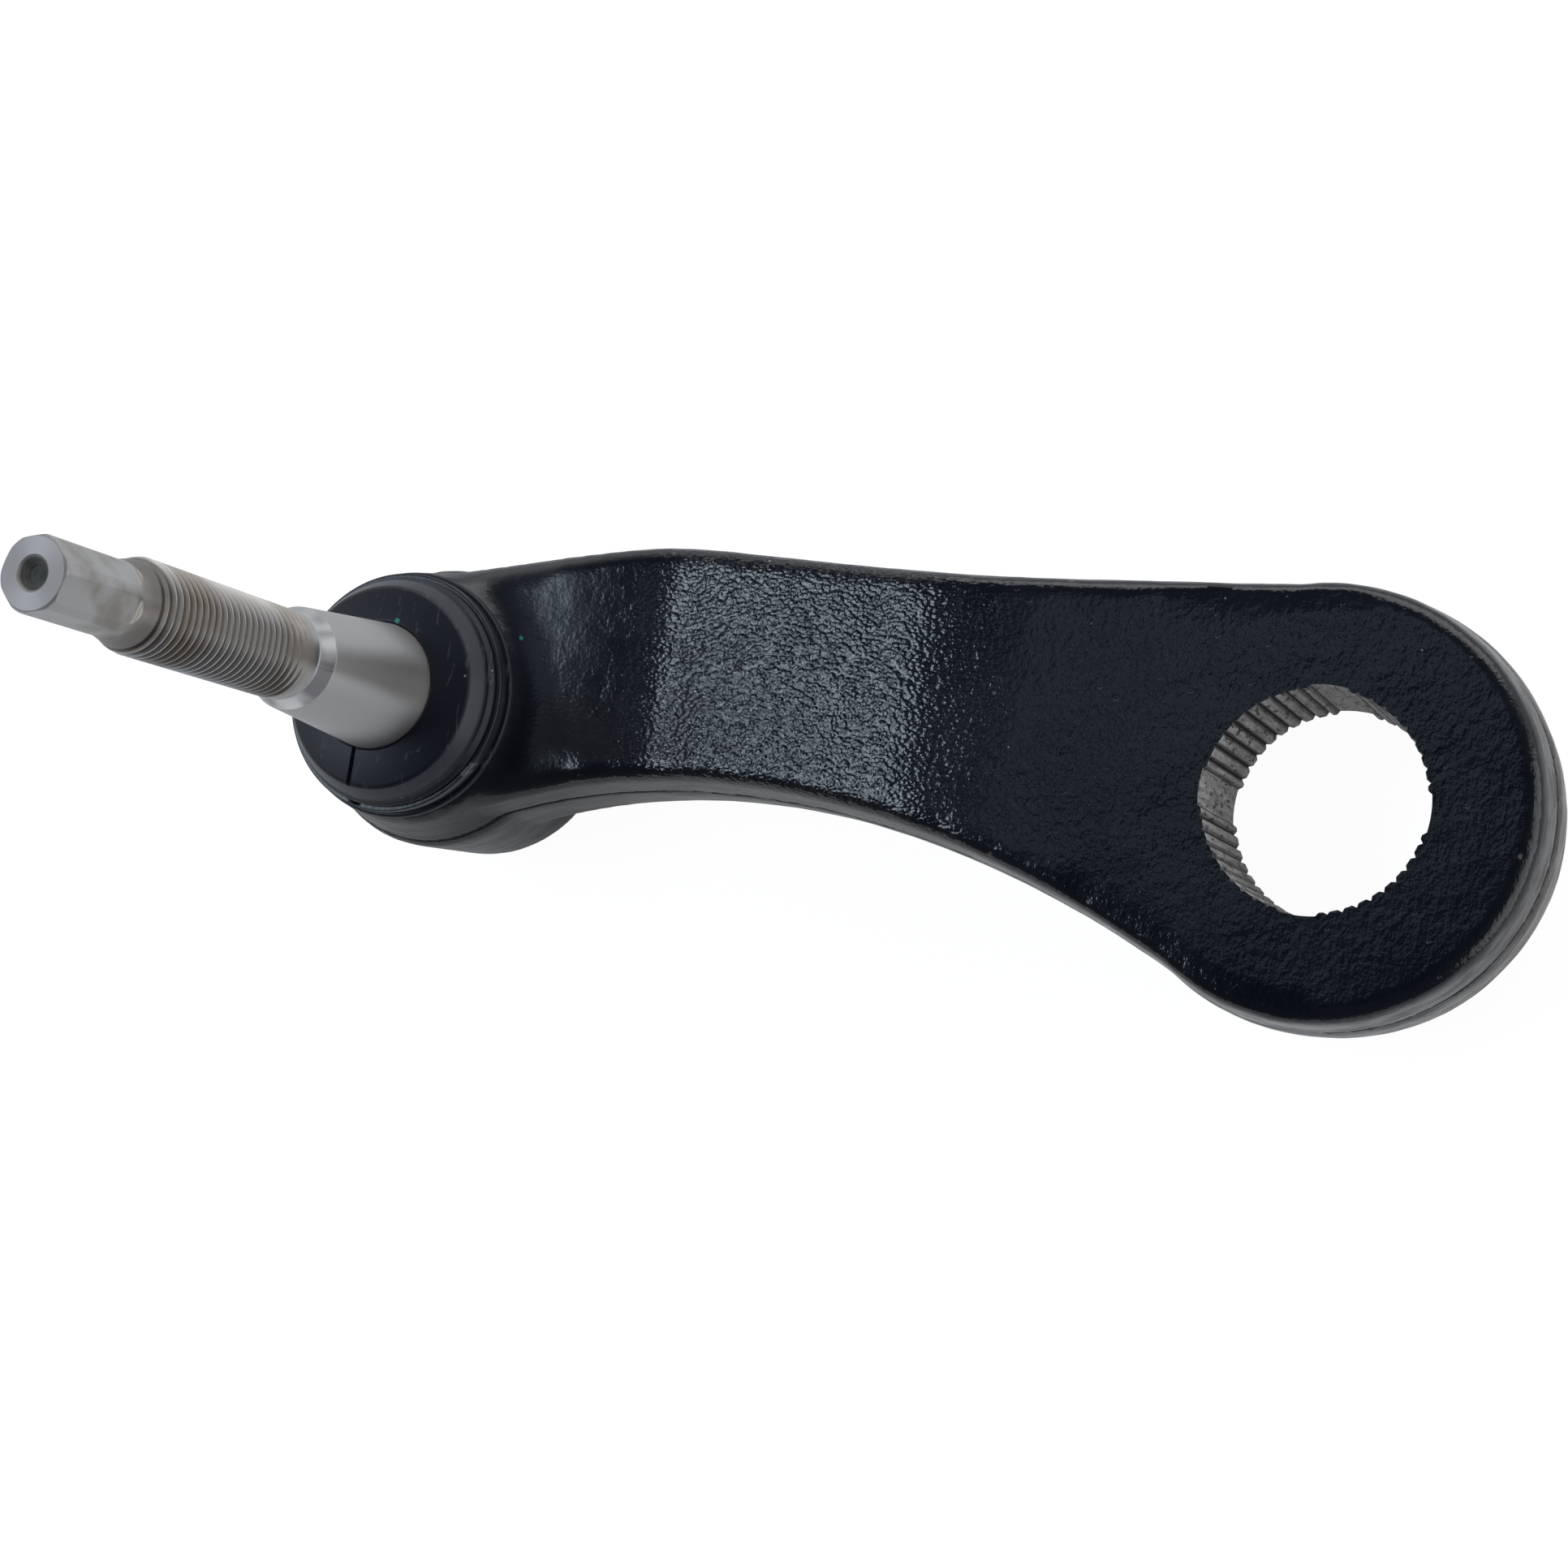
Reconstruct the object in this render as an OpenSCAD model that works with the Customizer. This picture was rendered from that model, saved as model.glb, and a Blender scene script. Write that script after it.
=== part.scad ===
// Pitman arm: a forged steering arm with a serrated eye at one end and a ball stud in a socket at the other.
// Millimetres. The eye's bore is on Z and its stud-side face is at z = 0. The arm runs to -X, the stud to +Z.

/* [Forging] */
// Distance from the bore's axis to the stud's axis
arm_length = 151.2; // [140:0.2:170]
// Diameter of the eye at the parting line
eye_d = 64.8; // [62:0.2:70]
// Thickness of the eye
eye_t = 22.8; // [20:0.2:25]
// How far the web's stud-side face drops on its way to the socket
web_drop = 7; // [5:0.25:8]
// Height of the web's long edge above the centre line, at the shoulder near the socket
shoulder_y = 31; // [28:0.1:32]
// Dip of the long edge, between the eye and the shoulder
edge_dip = 2.7; // [0.5:0.1:4]
// Height of the waisted edge below the centre line
waist_y = 8.8; // [6:0.1:12]
// Where the waist is, as a share of the arm's length
waist_at = 0.61; // [0.54:0.01:0.66]
// Radius of the forging's edges
edge_r = 2.4; // [1.6:0.1:3]
// Draft of the walls on the stud's side of the parting line, in degrees
front_draft = 7; // [2:0.5:8]
// Draft of the walls on the far side, in degrees
back_draft = 2; // [1:0.5:6]

/* [Serrated bore] */
// Diameter over the lands
land_d = 31.46; // [28:0.02:34]
// Depth of a serration
serration_h = 0.54; // [0.3:0.02:0.8]
// Serrations in a full circle, before the master grooves are cut
serrations = 48; // [24:4:60]
// Number of wide master grooves
masters = 4; // [1:1:4]

/* [Ball stud] */
// Diameter of the ball
ball_d = 31; // [29:0.1:32]
// Depth of the ball's centre below the eye's face
ball_depth = 16.5; // [15.5:0.1:17.5]
// Diameter of the neck under the ball
neck_d = 17.5; // [15:0.1:18]
// Large diameter of the taper, at the boot
taper_d = 20.5; // [19:0.1:21.5]
// Small diameter of the taper
taper_end_d = 16.1; // [15.4:0.1:17]
// Height of the taper's small end above the eye's face
taper_top = 28.4; // [26:0.1:34]
// Length of the bright chamfer between the taper and the plain run-out under the thread
chamfer_l = 2.6; // [1:0.1:4]
// Length of the plain run-out
runout_l = 3; // [1:0.1:5]
// Major diameter of the thread
thread_d = 14; // [12:0.5:14]
// Length of the thread
thread_l = 34.2; // [28:0.1:40]
// Diameter of the plain tip
tip_d = 11; // [9:0.1:11]
// Width across the tip's flats
tip_flats = 10.2; // [8.6:0.1:10.7]
// Length of the plain tip
tip_l = 16.4; // [10:0.1:20]

/* [Socket] */
// Greatest diameter of the socket, at the parting line
socket_d = 47.4; // [46.6:0.2:52]
// Depth of the socket's closed end below the eye's face
socket_depth = 38.8; // [38.4:0.1:42]
// Diameter of the bore that holds the two bearings
cavity_d = 38; // [37:0.1:38.6]
// Diameter of the mouth that the neck swings in
mouth_d = 27; // [26.4:0.1:27.6]
// Thickness of the cover plate
cover_t = 1.8; // [1.2:0.1:2.2]
// Thickness of the spring washer
spring_t = 1; // [0.6:0.1:1.2]

/* [Boot] */
// Diameter of the boot's cap
cap_d = 36.1; // [35.6:0.1:37.2]
// Diameter of the boot's lip
lip_d = 40.8; // [40.6:0.1:42]
// Height of the boot's face above the eye's face, at the stud
boot_top = 4.7; // [4.4:0.1:6]
// Fall of the boot's face from the stud to its bevel
crown = 1.5; // [0.5:0.1:1.8]
// Height of the bevel round the boot's face
bevel_h = 2.4; // [1.6:0.1:2.6]
// Thickness of the boot's cap at the stud
cap_t = 3.2; // [2.8:0.1:3.4]
// Width of the vent groove in the boot's face
vent_w = 1; // [0.6:0.1:3]
// Depth of the vent groove
vent_h = 0.7; // [0.3:0.1:1.2]
// Gap between the ends of the boot ring
ring_gap = 2; // [0.5:0.1:6]

/* [Fits] */
// Radial clearance of the ball in its bearings and of the stud in the boot
run_gap = 0.05; // [0.02:0.01:0.1]
// Clearance of the pieces that sit still in the socket
seat_gap = 0.03; // [0.02:0.01:0.05]

/* [Hidden] */
$fn = 96;
bite = 1;

// forging
stud_x = -arm_length;
eye_r = eye_d / 2;
sunk = 0.15;
web_eye_r = eye_r - 0.35;
web_socket_r = socket_d / 2 - 1.8;
dip_at = [-0.38 * arm_length, shoulder_y - edge_dip];
shoulder_at = [-0.73 * arm_length, shoulder_y];
waist_x = -waist_at * arm_length;
bend_at = [for (share = [0.28, 0.455, 0.675, 0.73]) share * arm_length];
stations = 44;
corner_steps = 3;
softness = 1.6;

// ball and socket
ball_z = -ball_depth;
ball_r = ball_d / 2;
cup_r = ball_r + run_gap;
cavity_r = cavity_d / 2;
mouth_r = mouth_d / 2;
mouth_z = ball_z + sqrt(pow(ball_r, 2) - pow(mouth_r - 0.4, 2));
seat_z = -5;
collar_r = 16.8;
collar_z = -2.4;
collar_in = 14.9;
cover_z = -socket_depth + 1.5;
cover_r = cavity_r + 1.2;
crimp_r = cavity_r - 0.5;
spring_z = cover_z + cover_t;
spring_rise = 0.8;
spring_r = cavity_r - 1.4;
cup_floor = spring_z + spring_t + spring_rise;
split_z = 0.6;
parting_z = -17;

// stud
taper_r = taper_d / 2;
shoulder_r = taper_r + 0.05;
thread_z = taper_top + chamfer_l + runout_l;
thread_r = thread_d / 2;
runout_r = thread_r - 0.2;
lead_z = thread_z + thread_l;
tip_z = lead_z + 4.4;
stud_top = tip_z + tip_l;
tip_r = tip_d / 2;
tip_turn = -17;
dish_r = 2.5;
dish_h = 1.2;

// boot
cap_r = cap_d / 2;
lip_r = lip_d / 2;
face_r = cap_r - 1.4;
face_z = boot_top - crown;
bevel_z = face_z - bevel_h;
crown_a = atan(crown / (face_r - shoulder_r));
ring_z = [-3.6, -1.4];
ring_in = collar_r + 1.75;
ring_out = lip_r - 0.7;
vent_angle = -97;
ring_angle = -101;

// bore
land_r = land_d / 2;
valley_r = land_r + serration_h;
pitch = 360 / serrations;
serration_a = atan(serration_h / land_r);

function soft_max(a, b) = (a + b + sqrt(pow(a - b, 2) + pow(softness, 2))) / 2;
function soft_min(a, b) = -soft_max(-a, -b);
function line_y(p, q, x) = p[1] + (q[1] - p[1]) * (x - p[0]) / (q[0] - p[0]);

// where a line from p touches a circle of radius r about c, on the side given by s
function touch(p, c, r, s) =
    let (d = p - c, a = atan2(d[1], d[0]) + s * acos(r / norm(d))) c + r * [cos(a), sin(a)];

eye_touch = touch(dip_at, [0, 0], web_eye_r, -1);
socket_touch = touch(shoulder_at, [stud_x, 0], web_socket_r, 1);

// height of the web's long edge at x
function long_edge(x) = x > eye_touch[0]
    ? sqrt(pow(web_eye_r, 2) - pow(x, 2))
    : soft_min(soft_max(line_y(eye_touch, dip_at, x), line_y(dip_at, shoulder_at, x)),
        line_y(shoulder_at, socket_touch, x));

// radius of the arc that leaves the waist level and touches a circle of radius r, dx along the arm
function waist_arc(dx, r) = (pow(dx, 2) + pow(waist_y, 2) - pow(r, 2)) / (2 * (r - waist_y));

// height of the waisted edge at x, on the side of the circle of radius r about cx
function waist_side(x, cx, r) =
    let (dx = waist_x - cx, a = waist_arc(dx, r), t = cx + dx * r / (r + a))
    abs(x - cx) < abs(t - cx) ? -sqrt(pow(r, 2) - pow(x - cx, 2))
        : sqrt(pow(a, 2) - pow(x - waist_x, 2)) - a - waist_y;
function waist_edge(x) = x > waist_x ? waist_side(x, 0, web_eye_r) : waist_side(x, stud_x, web_socket_r);

// share of the drop reached at x: a slow bend, an even slope, then a sharper bend
function dropped(x) =
    let (b = bend_at, t = min(max(-x, b[0]), b[3]), full = (b[1] - b[0]) / 2 + b[2] - b[1] + (b[3] - b[2]) / 2)
    (t < b[1] ? pow(t - b[0], 2) / (2 * (b[1] - b[0]))
        : t < b[2] ? (b[1] - b[0]) / 2 + t - b[1]
        : full - pow(b[3] - t, 2) / (2 * (b[3] - b[2]))) / full;
function web_front(x) = -sunk - web_drop * dropped(x);
web_t = eye_t - 2 * sunk;
web_wall = web_t / 2 - edge_r;

// one rounded corner of the web's section: centre, start angle
function corner(y, z, a) =
    [for (i = [0 : corner_steps]) let (t = a + 90 * i / corner_steps) [y + edge_r * cos(t), z + edge_r * sin(t)]];
function section(x) =
    let (zf = web_front(x), zb = zf - web_t, zm = (zf + zb) / 2, yt = long_edge(x), yb = waist_edge(x),
        inf = web_wall * tan(front_draft) + edge_r, inb = web_wall * tan(back_draft) + edge_r)
    concat([[yt, zm]], corner(yt - inf, zf - edge_r, 0), corner(yb + inf, zf - edge_r, 90), [[yb, zm]],
        corner(yb + inb, zb + edge_r, 180), corner(yt - inb, zb + edge_r, 270));

module web() {
    xs = [for (i = [0 : stations]) stud_x * (1 - i / stations)];
    rows = [for (x = xs) [for (p = section(x)) [x, p[0], p[1]]]];
    n = len(rows[0]);
    points = [for (row = rows) for (p = row) p];
    sides = [for (i = [0 : stations - 1]) for (j = [0 : n - 1])
        let (a = i * n + j, b = i * n + (j + 1) % n) each [[a, b + n, b], [a, a + n, b + n]]];
    ends = [[for (j = [0 : n - 1]) j], [for (j = [n - 1 : -1 : 0]) stations * n + j]];
    polyhedron(points, concat(sides, ends), convexity = 4);
}

// half of a drafted disc's outline, rounded at both faces
function disc_outline(r, t) =
    let (wall = t / 2 - edge_r, f = r - wall * tan(front_draft) - edge_r, b = r - wall * tan(back_draft) - edge_r)
    concat([[0, 0], [f, 0]],
        [for (i = [1 : 6]) let (a = 90 - 15 * i) [f + edge_r * cos(a), -edge_r + edge_r * sin(a)]],
        [[r, -t / 2]],
        [for (i = [0 : 5]) let (a = -15 * i) [b + edge_r * cos(a), edge_r - t + edge_r * sin(a)]],
        [[b, -t], [0, -t]]);

module eye() {
    rotate_extrude() polygon(disc_outline(eye_r, eye_t));
}

module socket() {
    r = socket_d / 2;
    translate([stud_x, 0, 0]) rotate_extrude() polygon([[0, -socket_depth], [crimp_r + 1, -socket_depth],
        [r - 2.6, 0.6 - socket_depth], [r - 1.4, 1.4 - socket_depth], [r - 0.9, 2.6 - socket_depth],
        [r, parting_z], [r - 1.3, parting_z + 3], [r - 2.7, seat_z - 2], [r - 3, seat_z - 0.6], [r - 3.2, seat_z],
        [0, seat_z]]);
}

module collar() {
    translate([stud_x, 0, seat_z - bite]) cylinder(r = collar_r, h = collar_z - seat_z + bite);
}

module socket_cut() {
    translate([stud_x, 0, 0]) {
        rotate_extrude() polygon([[0, seat_z], [mouth_r, seat_z], [collar_in, collar_z],
            [collar_in + (collar_in - mouth_r) * bite / (collar_z - seat_z), collar_z + bite], [0, collar_z + bite]]);
        translate([0, 0, mouth_z - bite]) cylinder(r = mouth_r, h = seat_z - mouth_z + bite + 0.01);
        translate([0, 0, spring_z]) cylinder(r = cavity_r, h = mouth_z - spring_z);
        translate([0, 0, cover_z]) cylinder(r = cover_r, h = cover_t);
        translate([0, 0, -socket_depth - bite]) cylinder(r = crimp_r, h = socket_depth + cover_z + 2 * bite);
    }
}

module serrated_bore() {
    l = eye_t + 2 * bite;
    every = serrations / masters;
    translate([0, 0, -eye_t - bite]) {
        cylinder(r = land_r, h = l);
        for (i = [0 : serrations - 1]) if (min(i % every, every - i % every) > 1)
            rotate(i * pitch) linear_extrude(l) polygon([[valley_r, 0],
                [land_r - bite, serration_h + bite], [land_r - bite, -serration_h - bite]]);
        for (i = [0 : masters - 1]) rotate(i * 360 / masters) intersection() {
            cylinder(r = valley_r, h = l);
            linear_extrude(l) polygon([[land_r - bite, 0], for (s = [-1, 1])
                each [for (k = s > 0 ? [1, 0] : [0, 1]) let (a = s * (pitch + k * 2 * serration_a))
                    (k > 0 ? land_r - 0.02 : valley_r + bite) * [cos(a), sin(a)]]]);
        }
    }
}

module arm() {
    color("#15171c") difference() {
        union() {
            eye();
            web();
            socket();
            collar();
        }
        serrated_bore();
        socket_cut();
    }
}

module ball_stud() {
    color("#8d8f92") translate([stud_x, 0, 0]) difference() {
        union() {
            translate([0, 0, ball_z]) sphere(r = ball_r);
            rotate_extrude() polygon([[0, ball_z], [neck_d / 2, ball_z], [neck_d / 2, -1.5], [shoulder_r, 1.5],
                [shoulder_r, boot_top], [taper_r, boot_top + 0.3], [taper_end_d / 2, taper_top],
                [runout_r, taper_top + chamfer_l], [runout_r, thread_z + bite], [0, thread_z + bite]]);
            translate([0, 0, thread_z]) cylinder(r = thread_r, h = thread_l);
            translate([0, 0, lead_z]) cylinder(r1 = thread_r - 0.2, r2 = tip_r, h = tip_z - lead_z);
            translate([0, 0, tip_z - bite]) cylinder(r = tip_r, h = tip_l + bite);
        }
        for (i = [0 : 5]) rotate(60 * i + tip_turn) translate([tip_flats / 2, -tip_r, tip_z + 1])
            cube([tip_r, 2 * tip_r, tip_l]);
        translate([0, 0, stud_top - dish_h]) cylinder(r1 = dish_r - dish_h, r2 = dish_r + bite, h = dish_h + bite);
    }
}

module upper_bearing() {
    color("#d9d2bd") translate([stud_x, 0, ball_z]) difference() {
        translate([0, 0, split_z]) cylinder(r = cavity_r - seat_gap, h = mouth_z - ball_z - seat_gap - split_z);
        sphere(r = cup_r);
    }
}

module lower_bearing() {
    h = ball_z - split_z - cup_floor - seat_gap;
    color("#d9d2bd") translate([stud_x, 0, ball_z]) difference() {
        translate([0, 0, -split_z - h]) cylinder(r = cavity_r - seat_gap, h = h);
        sphere(r = cup_r);
        translate([0, 0, -ball_d]) cylinder(r = 4, h = ball_r);
    }
}

module spring_washer() {
    color("#5d6064") translate([stud_x, 0, spring_z]) rotate_extrude() polygon([[8, spring_rise],
        [spring_r, seat_gap], [spring_r, spring_t + seat_gap], [8, spring_t + spring_rise - seat_gap]]);
}

module cover_plate() {
    z = cover_z + seat_gap;
    t = cover_t - 2 * seat_gap;
    color("#3a3c40") translate([stud_x, 0, z]) difference() {
        cylinder(r = cover_r - seat_gap, h = t);
        translate([0, 0, -bite]) cylinder(r = 9, h = bite + t * 0.35);
    }
}

module dust_boot() {
    color("#17191e") translate([stud_x, 0, 0]) difference() {
        rotate_extrude() polygon([[shoulder_r + run_gap, boot_top - cap_t], [shoulder_r + run_gap, boot_top - 0.2],
            [shoulder_r + 0.4, boot_top], [face_r - 0.4, face_z + 0.1], [face_r, face_z - 0.2], [cap_r, bevel_z],
            [cap_r + 0.2, bevel_z - 0.4], [cap_r + 0.2, bevel_z - 1], [cap_r + 0.9, ring_z[1] + 0.5],
            [cap_r + 0.9, ring_z[1] + seat_gap], [ring_in - seat_gap, ring_z[1] + seat_gap],
            [ring_in - seat_gap, ring_z[0] - seat_gap], [lip_r - 0.3, ring_z[0] - seat_gap],
            [lip_r, ring_z[0] - 0.4], [lip_r, seat_z + 0.4], [lip_r - 0.3, seat_z + seat_gap],
            [collar_r + seat_gap, seat_z + seat_gap], [collar_r + seat_gap, collar_z + 0.3],
            [collar_r - 0.6, collar_z + 0.9], [collar_r - 0.6, boot_top - cap_t - 0.9],
            [collar_r - 1.6, boot_top - cap_t]]);
        rotate(vent_angle) translate([shoulder_r, 0, boot_top]) rotate([0, crown_a, 0])
            translate([-bite, -vent_w / 2, -vent_h]) cube([cap_r, vent_w, vent_h + bite]);
    }
}

module boot_ring() {
    color("#24262b") translate([stud_x, 0, 0]) difference() {
        translate([0, 0, ring_z[0]]) cylinder(r = ring_out, h = ring_z[1] - ring_z[0]);
        translate([0, 0, ring_z[0] - bite]) cylinder(r = ring_in, h = ring_z[1] - ring_z[0] + 2 * bite);
        rotate(ring_angle) translate([0, -ring_gap / 2, ring_z[0] - bite])
            cube([2 * ring_out, ring_gap, ring_z[1] - ring_z[0] + 2 * bite]);
    }
}

arm();
ball_stud();
upper_bearing();
lower_bearing();
spring_washer();
cover_plate();
dust_boot();
boot_ring();
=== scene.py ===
# %% [markdown]
# # A pitman arm, step by step
# A pitman arm is the forged lever between a steering box and the linkage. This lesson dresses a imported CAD
# model of one: the CAD solids carry the sizes and the motion, and Blender adds the forged skin, the real thread
# and the finishes. Everything is in metres, in the CAD frame: the bore is on Z, the arm runs to -X and the stud
# stands up along +Z.

# %% Load the frame
from math import atan2, cos, degrees, hypot, pi, radians, sin

import bmesh
import bpy
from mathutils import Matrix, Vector


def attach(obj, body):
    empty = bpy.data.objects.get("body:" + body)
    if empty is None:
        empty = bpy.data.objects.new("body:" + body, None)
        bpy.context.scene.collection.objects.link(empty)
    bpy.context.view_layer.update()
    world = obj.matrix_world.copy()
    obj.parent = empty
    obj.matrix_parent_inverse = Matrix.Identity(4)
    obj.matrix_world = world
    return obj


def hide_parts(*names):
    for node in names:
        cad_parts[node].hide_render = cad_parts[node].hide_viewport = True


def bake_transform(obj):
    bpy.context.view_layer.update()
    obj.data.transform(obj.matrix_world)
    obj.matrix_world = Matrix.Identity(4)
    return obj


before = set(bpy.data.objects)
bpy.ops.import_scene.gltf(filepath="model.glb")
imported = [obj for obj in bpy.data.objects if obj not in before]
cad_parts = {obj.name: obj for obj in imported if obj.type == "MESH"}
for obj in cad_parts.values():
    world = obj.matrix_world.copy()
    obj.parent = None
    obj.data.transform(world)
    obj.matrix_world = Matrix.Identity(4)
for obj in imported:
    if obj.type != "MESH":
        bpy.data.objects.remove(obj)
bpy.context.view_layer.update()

# %% [markdown]
# ## Working by hand, in code
# Each piece starts as a primitive and is shaped in edit mode, the way a modeller does it with the mouse. In code
# the selection is made by place: a test says which vertices, edges or faces to take. These few helpers clear the
# selection, go in and out of edit mode, choose by place, and apply a modifier. Sizes are written in millimetres,
# as on a drawing, and MM turns them into metres.

# %% Helpers for selecting and shaping
MM = 0.001
STUD_X = -151.2


def clear():
    if bpy.context.mode != "OBJECT":
        bpy.ops.object.mode_set(mode="OBJECT")
    bpy.ops.object.select_all(action="DESELECT")


def take(piece):
    """Makes a piece the only selected one and the active one."""
    clear()
    piece.select_set(True)
    bpy.context.view_layer.objects.active = piece
    return piece


def edit(piece, kind="VERT"):
    take(piece)
    bpy.ops.object.mode_set(mode="EDIT")
    bpy.ops.mesh.select_mode(type=kind)
    return piece


def choose(piece, kind, test):
    """In edit mode, selects the vertices, edges or faces whose centre and normal pass the test. Millimetres."""
    bpy.ops.mesh.select_mode(type=kind)
    bpy.ops.mesh.select_all(action="DESELECT")
    mesh = bmesh.from_edit_mesh(piece.data)
    rows = {"VERT": mesh.verts, "EDGE": mesh.edges, "FACE": mesh.faces}[kind]
    count = 0
    for row in rows:
        if kind == "VERT":
            place, normal = row.co, row.normal
        elif kind == "EDGE":
            place, normal = (row.verts[0].co + row.verts[1].co) / 2, None
        else:
            place, normal = row.calc_center_median(), row.normal
        if test(place / MM, normal):
            row.select_set(True)
            count += 1
    mesh.select_flush_mode()
    bmesh.update_edit_mesh(piece.data)
    return count


def modify(piece, kind, **settings):
    """Adds a modifier, sets it and applies it."""
    take(piece)
    bpy.ops.object.modifier_add(type=kind)
    modifier = piece.modifiers[-1]
    for name, value in settings.items():
        setattr(modifier, name, value)
    bpy.ops.object.modifier_apply(modifier=modifier.name)


def cut(piece, tool):
    """Cuts a tool's shape out of a piece and throws the tool away."""
    modify(piece, "BOOLEAN", object=tool, operation="DIFFERENCE", solver="MANIFOLD")
    bpy.data.objects.remove(tool)


def smooth(piece, angle):
    """Shades a piece smooth, except over edges sharper than an angle in degrees."""
    take(piece)
    bpy.ops.object.shade_smooth_by_angle(angle=radians(angle))


def triangles(piece):
    return sum(len(face.vertices) - 2 for face in piece.data.polygons)


def block(size, at):
    """A box of a size at a place, in millimetres. It is left in edit mode, with all of it selected."""
    clear()
    bpy.ops.mesh.primitive_cube_add(size=MM, location=(0, 0, 0))
    box = edit(bpy.context.object)
    bpy.ops.mesh.select_all(action="SELECT")
    bpy.ops.transform.resize(value=size)
    bpy.ops.transform.translate(value=[v * MM for v in at])
    return box


def carry_to_stud(angle):
    """Turns a tool that is in edit mode about Z, in degrees, and carries it out to the stud's axis. With no
    window the operator turns the other way, hence the minus sign."""
    bpy.ops.mesh.select_all(action="SELECT")
    bpy.ops.transform.rotate(value=-radians(angle), orient_axis="Z", center_override=(0, 0, 0))
    bpy.ops.transform.translate(value=(STUD_X * MM, 0, 0))
    bpy.ops.object.mode_set(mode="OBJECT")


# %% [markdown]
# ## Drawing a profile and turning it
# Most of the small pieces are turned or moulded round the stud's axis: the stud, the rubber boot, its cover. A
# lathe makes them from half a section. Here the section is drawn as on paper: a plane is merged to one vertex, the
# vertex is extruded from corner to corner, and the line is spun round the axis. Spin leaves doubles at the seam and
# at the poles, so they are merged, and then the normals are made to point out.

# %% Helpers for turned pieces
def draw(name, points):
    """Draws a line of (radius, height) corners beside the stud's axis, in the XZ plane."""
    clear()
    bpy.ops.mesh.primitive_plane_add(size=MM)
    piece = bpy.context.object
    piece.name = piece.data.name = name
    edit(piece)
    bpy.ops.mesh.select_all(action="SELECT")
    bpy.ops.mesh.merge(type="CENTER")
    at = (0, 0)
    for i, (r, z) in enumerate(points):
        step = ((r - at[0]) * MM, 0, (z - at[1]) * MM)
        if i:
            bpy.ops.mesh.extrude_vertices_move(TRANSFORM_OT_translate={"value": step})
        else:
            bpy.ops.transform.translate(value=step)
        at = (r, z)
    return piece


def turn(name, points, steps=128, closed=False):
    """Turns a drawn section round the stud's axis. A closed section ends where it starts."""
    piece = draw(name, points + points[:1] if closed else points)
    bpy.ops.mesh.select_all(action="SELECT")
    bpy.ops.mesh.remove_doubles(threshold=1e-6)
    bpy.ops.mesh.select_all(action="SELECT")
    bpy.ops.mesh.spin(steps=steps, angle=2 * pi, center=(0, 0, 0), axis=(0, 0, 1))
    bpy.ops.mesh.select_all(action="SELECT")
    bpy.ops.mesh.remove_doubles(threshold=1e-6)
    bpy.ops.mesh.select_all(action="SELECT")
    bpy.ops.mesh.normals_make_consistent(inside=False)
    bpy.ops.transform.translate(value=(STUD_X * MM, 0, 0))
    bpy.ops.object.mode_set(mode="OBJECT")
    return piece


def arc(centre, radius, start, end, steps):
    """Corners along an arc of a section, from one angle to another, in degrees."""
    turns = [radians(start + (end - start) * i / steps) for i in range(steps + 1)]
    return [(centre[0] + radius * cos(a), centre[1] + radius * sin(a)) for a in turns]


# %% [markdown]
# ## The camera
# The camera comes first, so that every later choice can be judged in the right view. Its place, its turn and its
# lens were fitted to the photograph's outline: it looks down on the arm from the eye's side, a little from below.
# The picture is square, so the lens covers the same angle both ways.

# %% Camera
CAMERA_AT = (0.0749104, -0.0387002, 0.3531989)
CAMERA_TURN = (8.61326, 22.53467, 10.00039)
LENS, SENSOR = 58.79, 36

bpy.ops.object.camera_add(location=CAMERA_AT, rotation=[radians(a) for a in CAMERA_TURN])
camera = bpy.context.object
camera.name = "photo_camera"
camera.data.lens = LENS
camera.data.sensor_width = SENSOR
camera.data.clip_start = 0.01
bpy.context.scene.camera = camera
print("camera at", [round(v, 3) for v in camera.location])

# %% [markdown]
# ## The forged arm
# The arm is drop forged: hot steel squeezed between two dies, so its creases are blended, its skin is uneven and
# nothing on it is quite flat. It could be modelled anew, but the CAD solid already has the right outline, so a copy
# of it is the start. The copy's triangles are loose, so they are merged first. The bore and the socket are machined
# after forging, so they are plugged here and cut again later, sharp, when the skin is done. A voxel remesh melts
# copy and plugs into one even mesh, and a smoothing pass blends the creases. That rounds the web's two bends too
# much, so each is drawn a quarter of a millimetre tighter by a move with a soft falloff. The groove that the dies
# leave where they meet is pressed in along the walls, and displacement adds the unevenness.

# %% Copy, plug and remesh the forging
EYE_T = 22.8
SOCKET_END = -38.8
VOXEL = 0.72

clear()
arm = bpy.data.objects.new("forged_arm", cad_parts["arm"].data.copy())
bpy.context.scene.collection.objects.link(arm)
arm.data.materials.clear()
edit(arm)
bpy.ops.mesh.select_all(action="SELECT")
bpy.ops.mesh.remove_doubles(threshold=1e-6)
bpy.ops.object.mode_set(mode="OBJECT")


def plug(x, radius, bottom, top):
    clear()
    bpy.ops.mesh.primitive_cylinder_add(vertices=96, radius=radius * MM, depth=(top - bottom) * MM,
                                        location=(x * MM, 0, (top + bottom) / 2 * MM))
    bpy.ops.object.transform_apply(location=True, rotation=False, scale=False)
    return bpy.context.object


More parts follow.
